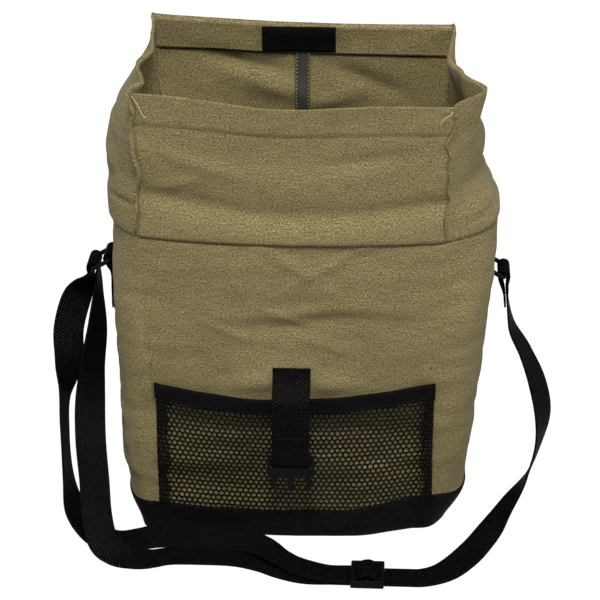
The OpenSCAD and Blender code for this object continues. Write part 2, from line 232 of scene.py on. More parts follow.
def canvasFinish(name, light, middle, dark):  # 600 denier heather polyester: two-tone yarn in short slubs
    material, tree, shader = newMaterial(name, 0.9, sheen=0.02, specular=0.1)
    cloth = addNode(tree, "ShaderNodeUVMap", uv_map="cloth").outputs["UV"]
    yarns = []
    # the yarns are 0.45 mm apart; their slubs run 1.8 mm across and 1.4 mm up, with some long ones across
    for across, up, seed in ((1 / 1.8, 1 / 0.45, 0.0), (1 / 0.45, 1 / 1.4, 5.0), (1 / 14, 1 / 0.6, 9.0)):
        place = addNode(tree, "ShaderNodeMapping", [(cloth, "Vector")], in_Scale=(across / mm, up / mm, 1),
                        in_Location=(seed, seed, seed))
        yarns.append(addNode(tree, "ShaderNodeTexNoise", [(place.outputs[0], "Vector")],
                             in_Scale=1.0, in_Detail=2.0, in_Roughness=0.6).outputs["Fac"])
    both = addNode(tree, "ShaderNodeMix", [(yarns[0], 2), (yarns[1], 3)], data_type="FLOAT", in_0=0.5)
    mixed = addNode(tree, "ShaderNodeMix", [(both.outputs[0], 2), (yarns[2], 3)], data_type="FLOAT",
                    in_0=0.17)
    tone = addNode(tree, "ShaderNodeValToRGB", [(mixed.outputs[0], "Fac")])
    fillRamp(tone, [(0.39, dark), (0.5, middle), (0.61, light)])
    # handling leaves broad, faint patches
    place = addNode(tree, "ShaderNodeMapping", [(cloth, "Vector")], in_Scale=(14, 22, 1))
    patch = addNode(tree, "ShaderNodeTexNoise", [(place.outputs[0], "Vector")], in_Scale=1.0, in_Detail=3.0)
    shade = addNode(tree, "ShaderNodeMapRange", [(patch.outputs["Fac"], "Value")], in_From_Min=0.3,
                    in_From_Max=0.7, in_To_Min=0.94, in_To_Max=1.05)
    tint = addNode(tree, "ShaderNodeVectorMath", [(tone.outputs["Color"], 0), (shade.outputs[0], 1)],
                   operation="MULTIPLY")
    tree.links.new(tint.outputs[0], shader.inputs["Base Color"])
    bump = addNode(tree, "ShaderNodeBump", [(mixed.outputs[0], "Height")], in_Strength=0.5,
                   in_Distance=0.3 * mm)
    tree.links.new(bump.outputs[0], shader.inputs["Normal"])
    return material


canvas = canvasFinish("heatherPolyesterCanvas", "#827858", "#574e30", "#2a220d")


# black cloth: its raised pebbles carry a faint painted highlight and the gaps between them a painted shade
def pebbleCloth(name, light, dark, pitch, depth):
    material, tree, shader = newMaterial(name, 0.7, specular=0.03)
    cloth = addNode(tree, "ShaderNodeUVMap", uv_map="cloth").outputs["UV"]
    place = addNode(tree, "ShaderNodeMapping", [(cloth, "Vector")],
                    in_Scale=(1 / (pitch * mm), 1 / (pitch * mm), 1))
    pebble = addNode(tree, "ShaderNodeTexVoronoi", [(place.outputs[0], "Vector")], in_Scale=1.0)
    # painted highlight at the pebble centres, fading to painted shade in the gaps
    tone = addNode(tree, "ShaderNodeValToRGB", [(pebble.outputs["Distance"], "Fac")])
    fillRamp(tone, [(0.0, light), (0.75, dark)])
    tree.links.new(tone.outputs["Color"], shader.inputs["Base Color"])
    bump = addNode(tree, "ShaderNodeBump", [(pebble.outputs["Distance"], "Height")], in_Strength=0.6,
                   in_Distance=depth * mm, invert=True)
    tree.links.new(bump.outputs[0], shader.inputs["Normal"])
    return material


# in each, the first colour is the painted highlight on the pebbles and the second the painted shade between
# them
baseCloth = pebbleCloth("coatedBaseCloth", "#0f0d0f", "#040304", 2.2, 0.5)  # wide pebbles under the coating
bindingCloth = pebbleCloth("wovenBindingTape", "#0b0a0b", "#040404", 0.9, 0.2)  # close and nearly flat
pileCloth = pebbleCloth("hookAndLoopPile", "#0f0d0e", "#030303", 0.8, 0.5)  # close and deep, so it looks dead


def yarnFinish(name, colour, paintedGlint, roughness, pitch):  # filament yarn: dull body with short painted glints, lighter streaks in the colour that stand in for shine
    material, tree, shader = newMaterial(name, roughness, specular=0.06)
    cloth = addNode(tree, "ShaderNodeUVMap", uv_map="cloth").outputs["UV"]
    place = addNode(tree, "ShaderNodeMapping", [(cloth, "Vector")],
                    in_Scale=(1 / (pitch * 0.4 * mm), 1 / (pitch * mm), 1))
    fibre = addNode(tree, "ShaderNodeTexNoise", [(place.outputs[0], "Vector")], in_Scale=1.0, in_Detail=3.0)
    tone = addNode(tree, "ShaderNodeValToRGB", [(fibre.outputs["Fac"], "Fac")])
    # painted glints: the second colour lightens short streaks along the fibres
    fillRamp(tone, [(0.35, colour), (0.72, paintedGlint)])
    tree.links.new(tone.outputs["Color"], shader.inputs["Base Color"])
    bump = addNode(tree, "ShaderNodeBump", [(fibre.outputs["Fac"], "Height")], in_Strength=0.5,
                   in_Distance=0.15 * mm)
    tree.links.new(bump.outputs[0], shader.inputs["Normal"])
    return material


webPitch = {"yarn": 2.28, "row": 1.2}


# plain-woven webbing: each raised yarn carries a painted highlight, a dull grey dot on the black
def webbingFinish(name, ground, paintedGlint, yarn, row):
    material, tree, shader = newMaterial(name, 0.6, specular=0.03)
    cloth = addNode(tree, "ShaderNodeUVMap", uv_map="cloth").outputs["UV"]
    place = addNode(tree, "ShaderNodeMapping", [(cloth, "Vector")], in_Location=(0, math.pi / 2, 0),
                    in_Scale=(math.pi / (yarn * mm), math.pi / (row * mm), 1))
    split = addNode(tree, "ShaderNodeSeparateXYZ", [(place.outputs[0], 0)])
    waves = [addNode(tree, "ShaderNodeMath", [(split.outputs[k], 0)], operation="SINE").outputs[0]
             for k in (0, 1)]
    over = addNode(tree, "ShaderNodeMath", [(waves[0], 0), (waves[1], 1)], operation="MULTIPLY")
    grain = addNode(tree, "ShaderNodeTexNoise", [(cloth, "Vector")], in_Scale=1 / (1.3 * mm), in_Detail=1.0)
    uneven = addNode(tree, "ShaderNodeMath", [(over.outputs[0], 0), (grain.outputs["Fac"], 1)],
                     operation="MULTIPLY")
    # painted highlight: where the weave rises, the colour turns from the black ground to the glint colour
    tone = addNode(tree, "ShaderNodeValToRGB", [(uneven.outputs[0], "Fac")])
    fillRamp(tone, [(0.28, ground), (0.55, paintedGlint)])
    tree.links.new(tone.outputs["Color"], shader.inputs["Base Color"])
    bump = addNode(tree, "ShaderNodeBump", [(over.outputs[0], "Height")], in_Strength=0.8,
                   in_Distance=0.3 * mm)
    tree.links.new(bump.outputs[0], shader.inputs["Normal"])
    return material


# its second colour is the painted highlight on the raised yarns
webbingYarn = webbingFinish("wovenPolypropyleneWebbing", "#010101", "#26231f", webPitch["yarn"],
                            webPitch["row"])
# each second colour here is a painted glint
tapeYarn = yarnFinish("greyTwillTape", "#262622", "#35342f", 0.7, 1.0)  # a matt grey stripe
paleThread = yarnFinish("paleSewingThread", "#827a5c", "#a39a78", 0.7, 0.6)  # lighter than the canvas
tanThread = yarnFinish("tanSewingThread", "#5c5236", "#786d4a", 0.7, 0.6)  # sinks into the canvas
blackThread = yarnFinish("blackSewingThread", "#0c0b0b", "#1c1a1a", 0.6, 0.6)  # just shows on black webbing
netYarn = yarnFinish("knotlessPolyesterNet", "#010101", "#050505", 0.6, 1.2)  # dead black lines


# satin skin with a fine spark-eroded grain
def plasticFinish(name, colour, roughness, grain):
    material, tree, shader = newMaterial(name, roughness, specular=0.05)
    spot = addNode(tree, "ShaderNodeTexCoord").outputs["Object"]
    place = addNode(tree, "ShaderNodeMapping", [(spot, "Vector")], in_Scale=(1 / (grain * mm),) * 3)
    skin = addNode(tree, "ShaderNodeTexNoise", [(place.outputs[0], "Vector")], in_Scale=1.0, in_Detail=2.0)
    tone = addNode(tree, "ShaderNodeMix", [(skin.outputs["Fac"], 0)], data_type="RGBA")
    tone.inputs[6].default_value = [c * 0.8 for c in hexColour(colour)[:3]] + [1]
    tone.inputs[7].default_value = [c * 1.25 for c in hexColour(colour)[:3]] + [1]
    tree.links.new(tone.outputs[2], shader.inputs["Base Color"])
    rough = addNode(tree, "ShaderNodeMapRange", [(skin.outputs["Fac"], "Value")],
                    in_To_Min=roughness - 0.06, in_To_Max=roughness + 0.08)
    tree.links.new(rough.outputs[0], shader.inputs["Roughness"])
    bump = addNode(tree, "ShaderNodeBump", [(skin.outputs["Fac"], "Height")], in_Strength=0.25,
                   in_Distance=0.1 * mm)
    tree.links.new(bump.outputs[0], shader.inputs["Normal"])
    return material


acetal = plasticFinish("mouldedAcetal", "#050607", 0.32, 0.5)  # black with soft, bright edges
nylon = plasticFinish("mouldedNylon", "#131314", 0.48, 0.7)  # greyer and duller than acetal
board = plasticFinish("extrudedPolypropyleneBoard", "#191918", 0.5, 1.5)  # a dull, faintly mottled sheet
steel = plasticFinish("zincPlatedSteel", "#9b9b99", 0.32, 0.6)  # the same grain over bright metal
steel.node_tree.nodes["Principled BSDF"].inputs["Metallic"].default_value = 1.0


def smoothRoute(points, steps):  # Catmull-Rom through the given points
    fine = []
    last = len(points) - 1
    for i in range(last):
        a, b, c, d = (points[max(0, min(last, k))] for k in (i - 1, i, i + 1, i + 2))
        for t in (k / steps for k in range(steps)):
            fine.append(0.5 * (2 * b + (c - a) * t + (2 * a - 5 * b + 4 * c - d) * t * t
                               + (3 * b - a - 3 * c + d) * t ** 3))
    return fine + [points[last]]


def evenRows(route, spacing):  # middle, width direction and face direction at even steps along a route
    mids = smoothRoute([Vector(middle) for middle, wide in route], 12)
    wides = smoothRoute([Vector(wide) for middle, wide in route], 12)
    run = [0.0]
    for a, b in zip(mids, mids[1:]):
        run.append(run[-1] + (b - a).length)
    count = max(2, round(run[-1] / spacing))
    rows, k = [], 0
    for i in range(count + 1):
        distance = run[-1] * i / count
        while k < len(run) - 2 and run[k + 1] < distance:
            k += 1
        t = clamp01((distance - run[k]) / max(run[k + 1] - run[k], 1e-9))
        forward = (mids[min(k + 2, len(mids) - 1)] - mids[max(k - 1, 0)]).normalized()
        wide = wides[k].lerp(wides[k + 1], t)
        wide = (wide - forward * wide.dot(forward)).normalized()
        rows.append((mids[k].lerp(mids[k + 1], t), wide, forward.cross(wide)))
    return rows, run[-1]


# plain-woven narrow fabric
def webbing(name, route, weave, body=None, replaces=(), relief=0.2, share=(0, 1)):
    rows, length = evenRows(route, weave["pitch"] / 2)
    step = length / (len(rows) - 1)
    rows = rows[round(share[0] * len(rows)):round(share[1] * len(rows)) + 1]
    columns = weave["yarns"] * 2
    last = len(rows) - 1

    def place(u, v):
        i, k = round(v * last), round(u * columns)
        middle, wide, face = rows[i]
        lift = relief * (-1) ** (i + k // 2) if k % 2 else 0  # warp yarns pass over and under the weft
        return middle + wide * (u - 0.5) * weave["width"] + face * lift

    flat = (weave["yarns"] * webPitch["yarn"], last * webPitch["row"])
    piece = finishMesh(clothGrid(columns, last, flat, place), name, webbingYarn, body, replaces,
                       thick=weave["thick"] - relief)
    return piece, [middle * mm for middle, wide, face in rows], round(step * last * mm, 4)


def block(bm, low, high, radius, shape=None, segments=2):  # a rounded block; shape moves its corners first
    low, high = Vector(low) * mm, Vector(high) * mm
    verts = bmesh.ops.create_cube(bm, size=1, matrix=Matrix.Translation((low + high) / 2)
                                  @ Matrix.Diagonal((*(high - low), 1)))["verts"]
    if shape:
        for vert in verts:
            vert.co = Vector(shape(vert.co / mm)) * mm
    edges = list({edge for vert in verts for edge in vert.link_edges})
    bmesh.ops.bevel(bm, geom=edges, offset=radius * mm, affect="EDGES", segments=segments, profile=0.5,
                    material=-1)


print("stage: shoulder strap")
shoulder = {"width": 25, "thick": 1.7, "pitch": 2.4, "yarns": 11, "split": 0.86}
runRoute = [
    ((171, 8, 200.5), (0, 1, 0)), ((171, 8, 194), (0, 1, 0)), ((171.5, 5, 181), (0, 1, 0)),
    ((176, -4, 161), (0.1, 1, 0)), ((187, -16, 143), (0.3, 1, 0)), ((197, -26, 121), (0.5, 0.9, 0)),
    ((202, -37, 98), (0.5, 0.9, 0)), ((199, -47, 74), (0.3, 1, 0)), ((190, -57, 50), (0.2, 1, 0)),
    ((175, -67, 29), (-0.1, 1, 0.1)), ((163, -77, 13), (-0.4, 0.9, 0.1)), ((151, -92, 4), (-0.6, 0.8, 0)),
    ((138, -112, 1.2), (-0.7, 0.7, 0)), ((124, -130, 1), (-0.4, 0.9, 0)), ((108, -139, 1), (0, 1, 0)),
    ((93, -140, 1), (0, 1, 0)), ((63, -140, 1), (0, 1, 0)), ((34, -140, 1), (0, 1, 0))]
innerRoute = [
    ((-165, 8, 200), (0, 1, 0)), ((-165, 8, 193), (0, 1, 0)), ((-164.5, 5, 180), (0.1, 1, 0)),
    ((-164, -14, 155), (0.4, 0.9, 0)), ((-166, -34, 132), (0.6, 0.8, 0)), ((-167, -52, 104), (0.9, 0.4, 0)),
    ((-165, -70, 78), (1, 0, 0)), ((-161, -86, 52), (1, -0.1, 0.1)), ((-158, -101, 29), (1, 0.1, 0.2)),
    ((-152, -114, 13), (0.8, 0.5, 0.4)), ((-141, -122, 6), (0.2, 0.9, 0.35)),
    ((-126, -126, 3.5), (0, 1, 0.15)), ((-111, -122, 1.6), (0.3, 1, 0)), ((-96, -117, 1.2), (0.2, 1, 0)),
    ((-72, -116, 1.2), (0, 1, 0)), ((-44, -117, 1.2), (-0.1, 1, 0)), ((-22, -124, 1.2), (-0.4, 0.9, 0)),
    ((-4, -134, 1.1), (-0.4, 0.9, 0)), ((14, -140, 1), (0, 1, 0)), ((33.8, -140, 1), (0, 1, 0))]
outerRoute = [
    ((-171.5, 8, 200.5), (0, 1, 0)), ((-171.8, 8, 195), (0.2, 1, 0)), ((-177, 6, 184.5), (0.8, 0.75, 0)),
    ((-184, 1, 171), (1, 0.35, 0)), ((-189, -8, 150), (1, 0.2, 0)), ((-188, -20, 128), (0.8, 0.6, 0)),
    ((-190, -38, 104), (0.15, 1, 0)), ((-188, -57, 80), (0.05, 1, 0)), ((-184, -74, 48), (0.1, 1, 0)),
    ((-177, -86, 24), (0.3, 0.9, 0.2)), ((-163, -94, 8), (0.1, 0.9, 0.3)),
    ((-145, -98, 3.5), (0.2, 1, 0.1)), ((-125, -97, 4.5), (0.3, 1, 0.2)),
    ((-104, -92.5, 5.5), (0.1, 1, 0.3)), ((-74, -93, 5.5), (0, 1, 0.3)), ((-46, -95, 5.5), (0, 1, 0.3)),
    ((-26, -103, 5), (-0.4, 0.9, 0.1)), ((-8, -119, 4), (-0.5, 0.9, 0)), ((10, -132, 3), (-0.3, 0.9, 0)),
    ((30, -140, 2.93), (0, 1, 0)), ((52.5, -140, 2.93), (0, 1, 0))]

sliderParts = {"x": 63, "y": -140, "halfLength": 13.4, "halfWidth": 17, "rail": 3.8, "bar": 4, "top": 6.2,
               "way": 3.9}
bm = bmesh.new()
p = sliderParts
for side in (-1, 1):
    y = p["y"] + side * (p["halfWidth"] - p["rail"] / 2)
    block(bm, (p["x"] - p["halfLength"], y - p["rail"] / 2, 0),
          (p["x"] + p["halfLength"], y + p["rail"] / 2, p["top"]), 1.3)
for x, half in ((-p["halfLength"] + p["bar"] / 2, p["bar"] / 2), (0, 1.8),
                (p["halfLength"] - p["bar"] / 2, p["bar"] / 2)):
    block(bm, (p["x"] + x - half, p["y"] - p["halfWidth"] + 1, p["way"]),
          (p["x"] + x + half, p["y"] + p["halfWidth"] - 1, p["top"] + 0.3), 1.0)
slider = finishMesh(bm, "strapSlider", acetal, "slider", ("strap_slider",), False)
humpRoute = [((p["x"] + x, p["y"], z), (0, 1, 0)) for x, z in
             ((-8.6, 5.0), (-6, 7.0), (-2.5, 8.6), (2, 8.8), (5.5, 6.8), (8, 4.2), (11, 3.4))]
webbing("sliderStrap", humpRoute, shoulder, "slider")
for name, node, route, ring in (("strapRun", "strap_run", runRoute, "right_ring_body"),
                                ("strapInner", "strap_inner", innerRoute, "left_ring_body"),
                                ("strapOuter", "strap_outer", outerRoute, "left_ring_body")):
    parts = [slider]
    share = (0, shoulder["split"]) if name == "strapOuter" else (0, 1)
    strand, path, length = webbing(name, route, shoulder, None, (node,), share=share)
    if share[1] < 1:  # its sewn end is made as a piece of its own
        parts.append(webbing(name + "End", route, shoulder, share=(share[1], 1))[0])
        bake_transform(parts[1])
    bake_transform(strand)


print("stage: canvas body and collar")
bag = {"seamZ": 268, "topZ": 380, "bandZ": 27, "frontColumns": 100, "sideColumns": 72, "bodyRows": 110,
       "collarRows": 60, "hemRows": 12, "hem": 24, "wall": 1.3,
       "left": ((0, 127), (30, 139), (60, 144), (256, 148), (300, 150), (312, 150), (335, 146), (345, 142),
                (357, 137), (375, 131), (386, 131)),
       "right": ((0, 128), (30, 141), (90, 147), (145, 152), (175, 154), (198, 155), (225, 159), (256, 161),
                 (270, 160), (282, 155), (294, 150), (305, 147), (317, 148), (330, 148), (341, 147),
                 (357, 141), (390, 136)),
       "rightTop": ((-1, 0), (-0.52, 23), (-0.13, 6), (0.23, -4), (0.6, -2), (1, 0)),
       "leftTop": ((-1, 0), (-0.84, 2.5), (-0.68, -6), (-0.17, 2), (0.22, -6), (0.6, -3), (1, 0)),
       "cornerLeft": ((0, 120), (50, 108), (268, 121), (320, 118), (350, 121), (390, 122)),
       "cornerRight": ((0, 98), (268, 119), (330, 120), (390, 123)),
       "halfDepth": ((0, 73), (130, 78), (268, 80), (390, 82)),
       "bow": ((0, 8), (110, 12), (268, 12), (390, 5)),
       "recede": 10, "recedeTop": 110}  # how far the right front corner sits back, and up to what height
bag["columns"] = 2 * (bag["frontColumns"] + bag["sideColumns"])


def bagColumn(u):  # a place round the bag as a wall and a fraction: 0 front, 1 right, 2 back, 3 left
    i = u * bag["columns"]
    for wall, count in enumerate((bag["frontColumns"], bag["sideColumns"]) * 2):
        if i <= count or wall == 3:
            s = clamp01(i / count)
            return wall, mix(s, 0.5 - 0.5 * math.cos(math.pi * s), 0.75)  # columns crowd at the corners
        i -= count


def wallPoint(wall, s, z, out):
    left, right = -along(bag["cornerLeft"], z), along(bag["cornerRight"], z)
    half = along(bag["halfDepth"], z)
    q = 2 * s - 1
    corner = bag["recede"] * smooth(1 - z / bag["recedeTop"])
    recede = corner * smooth((mix(left, right, s) - 50) / 55)
    if wall == 0:
        return Vector((mix(left, right, s), -(half + along(bag["bow"], z) * (1 - q * q) + out) + recede, z))
    if wall == 2:
        return Vector((mix(right, left, s), half + out, z))
    if wall == 3:
        q = -q
    t = q * math.pi / 2
    reach = (along(bag["right"], z) - right if wall == 1 else along(bag["left"], z) + left) + out
    full = Vector((reach * math.cos(t) ** (2 / 3), signedPower(math.sin(t), 2 / 3)))
    # the open collar's gussets lose their roundness and fold like bellows at the top
    lens = Vector((reach * (1 - abs(q) ** mix(3.0, 2.0, smooth((z - bag["seamZ"]) / 60))), q))
    shape = full.lerp(lens, smooth((z - 200) / 70))
    bellows = Vector((along(bag["rightTop" if wall == 1 else "leftTop"], q) + out, q))
    shape = shape.lerp(bellows, smooth((z - 322) / 58) if wall == 1 else smooth((z - 352) / 30))
    back = corner * smooth((right - 50) / 55) * smooth((0.1 - q) / 0.8) if wall == 1 else 0
    return Vector((right + shape.x if wall == 1 else left - shape.x, (half + out) * shape.y + back, z))


def bodyFolds(wall, s, z):  # how far the slack canvas stands out or in
    x, y, _ = wallPoint(wall, s, z, 0)
    settle = smooth((z - bag["bandZ"]) / 30) * smooth((bag["seamZ"] - z) / 14)
    middle = math.sin(math.pi * s)
    slack = mix(1, 1 if wall == 0 else 0.4, middle)
    out = 3.4 * slack * noise.noise(Vector((x / 75, y / 75, z / 50 + 3.7))) * settle
    out += 1.2 * noise.noise(Vector((x / 26, y / 26, z / 13 + 9.1))) * settle
    if wall == 0:
        # soft folds across the middle, a shallow V under the seam, slack over the pocket's mouth
        out += 2.2 * hump(z, 208 + 4 * math.sin(x / 30), 6) * hump(x, 25, 55)
        out -= 2.1 * hump(z, 196 + 5 * math.sin(x / 34), 7) * hump(x, 20, 60)
        for slope, centre in ((0.55, 32), (-0.6, -4)):
            out += 1.8 * hump(z - 240 - slope * (x - 14), 0, 4.5) * hump(x, centre, 30)
        for middleX, middleZ in ((-2, 203), (-52, 191), (25, 180)):  # slack that runs down to the right
            out += 1.7 * hump(z - middleZ + 0.35 * (x - middleX), 0, 4) * hump(x, middleX, 22)
        out += 3.2 * (hump(x, -32, 14) + hump(x, 34, 15)) * hump(z, 146, 8)
        out -= 1.6 * hump(z, 136, 8) * hump(x, 0, 90)
    if wall == 2:  # the board behind it keeps the back flat
        out = mix(out, -0.3 * abs(out), smooth(middle * 4))
    if wall == 1:  # the webbing tab draws the side in
        out -= 5.0 * hump(y, 8, 20) * hump(z, 192, 30)
        out += 1.6 * hump(y, -34, 16) * hump(z, 200, 34)
    if wall == 3:
        out -= 1.2 * hump(y, 8, 18) * hump(z, 192, 28)
        for k, height in enumerate((62, 82, 101)):
            out += 1.5 * hump(z - height - (y + 40) * 0.35, 0, 4.5) * hump(y, -48 + 6 * k, 30)
    return out


def collarFolds(wall, s, z):
    u = (z - bag["seamZ"]) / (bag["topZ"] - bag["seamZ"])
    x, y, _ = wallPoint(wall, s, z, 0)
    middle = math.sin(math.pi * s)
    out = smooth(u * 3) * (1.6 * noise.noise(Vector((x / 60, y / 60, z / 40 + 21.3)))
                           + 0.5 * noise.noise(Vector((x / 16, y / 16, z / 12))))
    # the foot of the collar flares over the seam in front
    panel = middle ** 0.35 if wall == 0 else 0
    out += mix(0.4, 6.0, panel) * smooth((301 - z) / 31) ** 1.2 - 5.0 * panel
    if wall == 0:
        crease = 303 - 14 * middle - 4 * s
        out -= 3.4 * hump(z, crease, 8)
        out += 2.4 * hump(z, crease + 28, 14) * hump(s, 0.45, 0.4)
        out += 10.0 * clamp01((z - 305) / 80) ** 1.7 * middle ** 0.6
        out -= 2.0 * hump(z, 330 - 8 * middle + 14 * s, 6) * hump(s, 0.72, 0.16)
        out += 2.0 * hump(z - 325 + (x + 60) * 0.22, 0, 6) * hump(x, -70, 32)
        out += 1.6 * hump(z - 312 - (x + 84) * 0.3, 0, 5) * hump(x, -88, 20)
    if wall == 2:  # seen from inside: slack diagonals under the hem, which leans in
        out -= 5.0 * clamp01((z - 346) / 34) ** 1.6 * middle ** 0.6
        out += 4.4 * hump(z - 352 + 0.16 * (x + 80), 0, 7) * hump(x, -50, 34)
        out += 4.6 * hump(z - 340 + 0.34 * (x - 40), 0, 8) * hump(x, 52, 26)
        out -= 4.0 * hump(z - 333 + 0.2 * (x + 40), 0, 9) * hump(x, -20, 34)
        out -= 3.0 * hump(z - 322 - 0.25 * (x - 30), 0, 7) * hump(x, 24, 26)
    if wall in (1, 3):
        q = 2 * s - 1 if wall == 1 else 1 - 2 * s  # -1 at the front, 1 at the back
        out *= 1 - q ** 8  # none at the seams
        if wall == 1:
            out -= 4 * hump(z, 306, 14) * hump(q, -0.5, 0.5)
            out += 1.8 * hump(z - 286, 0, 6) * hump(q, -0.6, 0.4)
        else:
            out += 2.2 * hump(z - 318 - 0.5 * (y + 30), 0, 6) * hump(q, -0.4, 0.4)
            out -= 2.4 * hump(z - 302 + 0.4 * (y + 40), 0, 7) * hump(q, -0.5, 0.35)
            out -= 2.6 * hump(z - 291 + 0.1 * (y + 70), 0, 2.2) * hump(q, -0.8, 0.22)
    return out


def topEdge(wall, s):  # the collar's upper edge isn't level
    middle = math.sin(math.pi * s)
    if wall == 0:
        return mix(5, 0, s) - 4.0 * middle ** 2 + 1.2 * math.sin(11 * s)
    if wall == 2:
        return mix(8, 14, s) - 1.5 * middle
    q = s if wall == 1 else 1 - s
    front, back = (0, 8) if wall == 1 else (5, 14)
    return mix(front, back, q) - 3 * middle


clothRun = [0.0]  # cloth used from the front left corner to each column
for i in range(bag["columns"]):
    ends = [wallPoint(*bagColumn(k / bag["columns"]), 200, 0) for k in (i, i + 1)]
    clothRun.append(clothRun[-1] + (ends[1] - ends[0]).length)
cornerRuns = [clothRun[round(k)] for k in (0, bag["frontColumns"], bag["frontColumns"] + bag["sideColumns"],
                                           2 * bag["frontColumns"] + bag["sideColumns"], bag["columns"])]


def bodyPlace(u, v):
    wall, s = bagColumn(u)
    z = mix(bag["bandZ"] - 5, bag["seamZ"] + 4, v)
    out = bodyFolds(wall, s, z) - 4.0 * smooth((z - bag["seamZ"] + 3) / 3)
    # above the seam its edge turns out to meet the collar
    out = mix(out, collarFolds(wall, s, bag["seamZ"] + 4) + 0.9, smooth((z - bag["seamZ"] - 0.5) / 3.5))
    point = wallPoint(wall, s, min(z, bag["seamZ"]), out)
    point.z = z
    return point


def collarPoint(wall, s, z, out):
    foot = bag["seamZ"] - 1.5
    start = max(z, bag["seamZ"] + 0.01)
    point = wallPoint(wall, s, start, collarFolds(wall, s, start) + 1.6 + out)
    point.z = z + topEdge(wall, s) * clamp01((z - foot) / (bag["topZ"] - foot)) ** 1.6
    return point


def seamWaver(side, face, z):  # the pinched corner seams wander
    fade = smooth((z - bag["seamZ"]) / 20)
    return Vector((4.4 * noise.noise(Vector((z / 17, side * 3.1, face))) * fade, 0, 0))


def collarPlace(u, v):  # up the outside, over the fold and down inside as the hem
    wall, s = bagColumn(u)
    row = v * (bag["collarRows"] + bag["hemRows"]) - bag["collarRows"]
    foot, top = bag["seamZ"] - 1.5, bag["topZ"]
    z = mix(top, foot, -row / bag["collarRows"]) if row <= 0 else top - bag["hem"] * row / bag["hemRows"]
    point = collarPoint(wall, s, z, -2.9 * clamp01(row))
    # the corner seams pull in a little
    run = clothRun[round(u * bag["columns"])]
    gap = min(abs(run - corner) for corner in cornerRuns)
    side, face = (1 if point.x > 0 else -1), (1 if point.y > 0 else -1)
    point += seamWaver(side, face, z) * math.exp(-gap / 7)
    point.y -= face * 1.7 * math.exp(-(gap / 1.3) ** 2) * clamp01(-row)
    if row < 0 and wall in (0, 2):  # the hem is double cloth and its stitching sinks in
        point.y += face * (0.9 * smooth((z - top + bag["hem"] + 1.5) / 2.5)
                           - 0.7 * hump(z, top - bag["hem"] - 1, 1.4))
    curl = clamp01((foot + 2 - z) / 2) if row < 0 else 0  # the foot's edge is rounded
    return point - Vector((point.x * 0.006, point.y * 0.01, 0)) * curl ** 2


def roundCloth(height):  # UV of a wall cloth that runs right round the bag
    return lambda u, v: (clothRun[round(u * bag["columns"])], v * height)


bodyCloth = clothGrid(bag["columns"], bag["bodyRows"], roundCloth(245), bodyPlace, True)
finishMesh(bodyCloth, "canvasBody", canvas, "bag",
           ("body_front", "body_left_gusset", "body_right_gusset", "body_back"),
           thick=bag["wall"], offset=-1)
collarCloth = clothGrid(bag["columns"], bag["collarRows"] + bag["hemRows"], roundCloth(138), collarPlace,
                        True)
finishMesh(collarCloth, "canvasCollar", canvas, "bag",
           ("collar_front", "collar_left_gusset", "collar_right_gusset", "collar_back_left",
            "collar_back_right", "front_hem", "back_hem"), thick=bag["wall"], offset=-1)


def ridgePiece(name, side, face, tall):  # a corner's seam allowance, turned out and topstitched into a fin
    wall = 0 if face < 0 else 2

    def place(u, v):
        z = mix(bag["seamZ"] + 3, bag["topZ"], v)
        s = 0 if side * face > 0 else 1
        base = collarPoint(wall, s, z, 0) + seamWaver(side, face, z)
        uneven = 1 + 0.45 * noise.noise(Vector((z / 11, side, face * 2.7)))
        stand = mix(-0.6, tall * uneven * smooth((1.02 - v) / 0.03), smooth((v + 0.01) / 0.06))
        lean = 0.5 + 0.4 * noise.noise(Vector((z / 23, side * 2.2, face)))
        return base + Vector((side * lean, face, 0)).normalized() * mix(-1.6, stand, u)

    finishMesh(clothGrid(6, 90, (tall + 1.6, 115), place), name, canvas, "bag", (), thick=1.5)


for name, side, face, tall in (("FrontLeft", -1, -1, 3.2), ("FrontRight", 1, -1, 0.6),
                               ("BackLeft", -1, 1, 3.0), ("BackRight", 1, 1, 3.4)):
    ridgePiece("seamFin" + name, side, face, tall)


print("stage: base")


def bandTop(x, wall=0, s=0.5):  # the band climbs at the right front corner
    share = 1 if wall == 0 else smooth(1 - 1.6 * s) if wall == 1 else 0
    return bag["bandZ"] + 8 * smooth((x - 30) / 85) * share


def basePlace(u, v):
    wall, s = bagColumn(u)
    z = bandTop(wallPoint(wall, s, 20, 0).x, wall, s) * v
    inset = 2.2 * (1 - v) ** 2 + 1.8 * smooth((0.1 - v) / 0.1)
    out = 1.3 - inset + 0.5 * noise.noise(Vector((clothRun[round(u * bag["columns"])] / 18, 2.2, v * 2)))
    point = wallPoint(wall, s, z, out - 0.9 * smooth((v - 0.93) / 0.07))
    point.z = 0.35 + z * 0.99 + 1.4 * noise.noise(Vector((u * 26, 7.7, 0))) * v ** 3
    return point


finishMesh(clothGrid(bag["columns"], 14, roundCloth(34), basePlace, True), "baseBand", baseCloth, "bag",
           ("base_band",), thick=1.2, offset=-1)

startColumn = 1.5 * bag["frontColumns"] + bag["sideColumns"]  # the middle of the back
